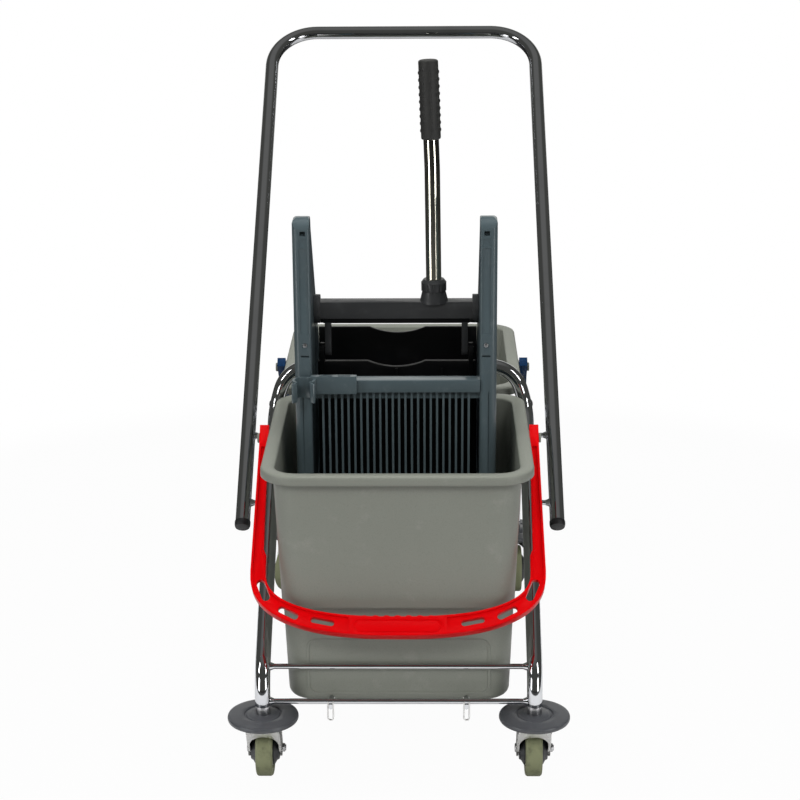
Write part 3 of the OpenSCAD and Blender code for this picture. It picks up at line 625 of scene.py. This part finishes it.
# The bails: a red one in front and a navy one behind, each moulded flat with raised edges, oval slots
# and a grip with finger waves, snapped onto the bucket's pins.
for name, low, high in (("front_bail", linear(204, 0, 5), linear(214, 2, 8)),
                        ("rear_bail", linear(16, 42, 74), linear(24, 54, 90))):
    bail_paint, shader, wire = finish(name + "_plastic")
    flow = grain(wire, 40, 3)
    scratch = grain(wire, 9, 5, 0.6).clear_of(0.56, 0.8)
    feed(
        shader,
        Base_Color=flow.tint(low, high),
        Specular_IOR_Level=0.10,
        Roughness=0.36 + scratch * 0.22,
        Normal=bumped(wire, grain(wire, 1.2, 2), 0.03),
    )
    shown(name + "_bow", softened(name, 0.9), bail_paint, name,
          "bail_red" if name == "front_bail" else "bail_navy", name)

# The wringer body: one blue grey moulding with two ears, a cross bar, a drain grid and a rear wall.
# A clip for the mop stick is screwed to its cross bar, and a steel pin sits in each ear.
wringer_grey, shader, wire = finish("wringer_grey")
haze = grain(wire, 70, 4)
marks = grain(wire, 16, 6, 0.62).clear_of(0.55, 0.8)
feed(
    shader,
    Base_Color=(marks * 0.5).tint(haze.tint(linear(66, 78, 82), linear(74, 86, 90)), linear(94, 104, 107)),
    Roughness=0.3 + marks * 0.16,
    Coat_Weight=0.22 - marks * 0.12,
    Coat_Roughness=0.12,
    Normal=bumped(wire, grain(wire, 0.8, 2), 0.03),
)
shown("wringer_frame", softened("wringer_body", 0.9), wringer_grey, "wringer", "wringer_grey", "wringer_body")
shown("stick_clip", softened("mop_clip", 0.7), wringer_grey, "wringer", "wringer_grey", "mop_clip")
for side in ("left", "right"):
    shown("ear_pin_" + side, softened("retainer_" + side, 0.3), steel, "wringer", "steel_pin",
          "retainer_" + side)

# The press: a square black shaft with end flanges and cranks, with a near-black strip under it as painted shade
# for its shaded underside, a bright lever tube clamped by a ribbed collar, a knobbed rubber grip, and the press
# plate that hangs from the cranks.
# The plate it presses against is fixed to the wringer; its near black is painted shade.
press_black, shader, wire = finish("press_black")
worn = grain(wire, 22, 5, 0.6).clear_of(0.52, 0.8)
feed(
    shader,
    Base_Color=worn.tint(linear(44, 45, 46), linear(58, 59, 60)),
    Roughness=0.4 + worn * 0.22,
    Normal=bumped(wire, grain(wire, 0.9, 2), 0.05),
)
# Near black with a random tone. On the fixed plate and on the strip under the shaft it is painted shade: the
# rear wall and the shaft's underside lie in shadow.
black_and_painted_shade, shader, wire = finish("black_and_painted_shade")
wet = grain(wire, 35, 5, 0.6).clear_of(0.5, 0.8)
feed(
    shader,
    Base_Color=wet.tint(linear(9, 9, 10), linear(20, 20, 21)),
    Specular_IOR_Level=0.25,
    Roughness=0.36 + wet * 0.2,
    Normal=bumped(wire, grain(wire, 0.9, 2), 0.04),
)
# The fixed plate, the wringer's rear wall, is painted near black: painted shade, as the wall lies in shadow.
shown("fixed_plate", softened("back_plate", 0.8), black_and_painted_shade, "wringer", "press_black", "back_plate")
shown("shaft", softened("press_shaft", 0.9), press_black, "lever", "press_black", "press_shaft")
# A near-black strip under the shaft: a dark sheet put there as painted shade for the shaft's shaded underside.
form = bmesh.new()
shade_strip_outline = ((-9, -11), (-9, -16.5), (-7.5, -18.2), (7.5, -18.2), (10, -15.5), (10.5, -11))
shaft_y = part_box("press_shaft")[0].lerp(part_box("press_shaft")[1], 0.5).y
shaft_z = 0.586
ends = [[form.verts.new((x * mm, shaft_y + y * mm, shaft_z + z * mm)) for y, z in shade_strip_outline] for x in (-99.0, 93.0)]
bridge(form, ends)
form.faces.new(ends[0])
form.faces.new(ends[1][::-1])
bmesh.ops.recalc_face_normals(form, faces=form.faces)
bmesh.ops.bevel(form, geom=form.edges[:], offset=0.6 * mm, offset_type="OFFSET", segments=2, profile=0.5,
                affect="EDGES", clamp_overlap=True)
shown("shaft_underside_shade", form, black_and_painted_shade, "lever", "press_black")
shown("collar", softened("lever_collar", 0.4), press_black, "lever", "press_black", "lever_collar")
lever_steel, shader, wire = finish("lever_steel")
drawn = grain(wire, 30, 3).clear_of(0.4, 0.7)
feed(
    shader,
    Base_Color=drawn.tint((0.93, 0.90, 0.76, 1), (0.86, 0.83, 0.70, 1)),
    Metallic=1.0,
    Roughness=0.10 + drawn * 0.04,
    Normal=bumped(wire, grain(wire, 35, 2), 0.006),
)
nodes["lever_tube"].data.materials.clear()
nodes["lever_tube"].data.materials.append(lever_steel)
shown("squeeze_plate", softened("press_plate", 0.8), black_and_painted_shade, "press", "press_black", "press_plate")
grip_rubber, shader, wire = finish("grip_rubber")
bloom = grain(wire, 8, 5, 0.6).clear_of(0.5, 0.8)
feed(
    shader,
    Base_Color=bloom.tint(linear(40, 40, 39), linear(54, 54, 52)),
    Roughness=0.55 + bloom * 0.2,
    Normal=bumped(wire, grain(wire, 0.7, 2), 0.05),
)
form = bmesh.new()
grip_low = Vector((43.03, -227.25, 810.06))
grip_axis = Vector((-0.03674, 0, 0.99932))
lathe(form, ((0, 11.4), (0.5, 12.2), (1.5, 12.7), (98.5, 12.7), (100.0, 12.2), (100.8, 10.8), (101.0, 8)),
      grip_low, grip_axis)
upright = grip_axis.to_track_quat("Z", "X").to_matrix()
knob_form = Matrix.Diagonal((1.4 * mm, 1.4 * mm, 2.6 * mm, 1))
for column in range(8):
    angle = math.radians(45 * column + 8)
    for row in range(9):
        height = 11.5 + 9.2 * row + 4.6 * (column % 2)
        spoke = upright @ Vector((12.4 * math.cos(angle), 12.4 * math.sin(angle), 0))
        knob = Matrix.Translation((grip_low + grip_axis * height + spoke) * mm) @ knob_form
        bmesh.ops.create_uvsphere(form, u_segments=12, v_segments=8, radius=1.0, matrix=knob)
shown("hand_grip", form, grip_rubber, "lever", "grip_rubber", "lever_grip")
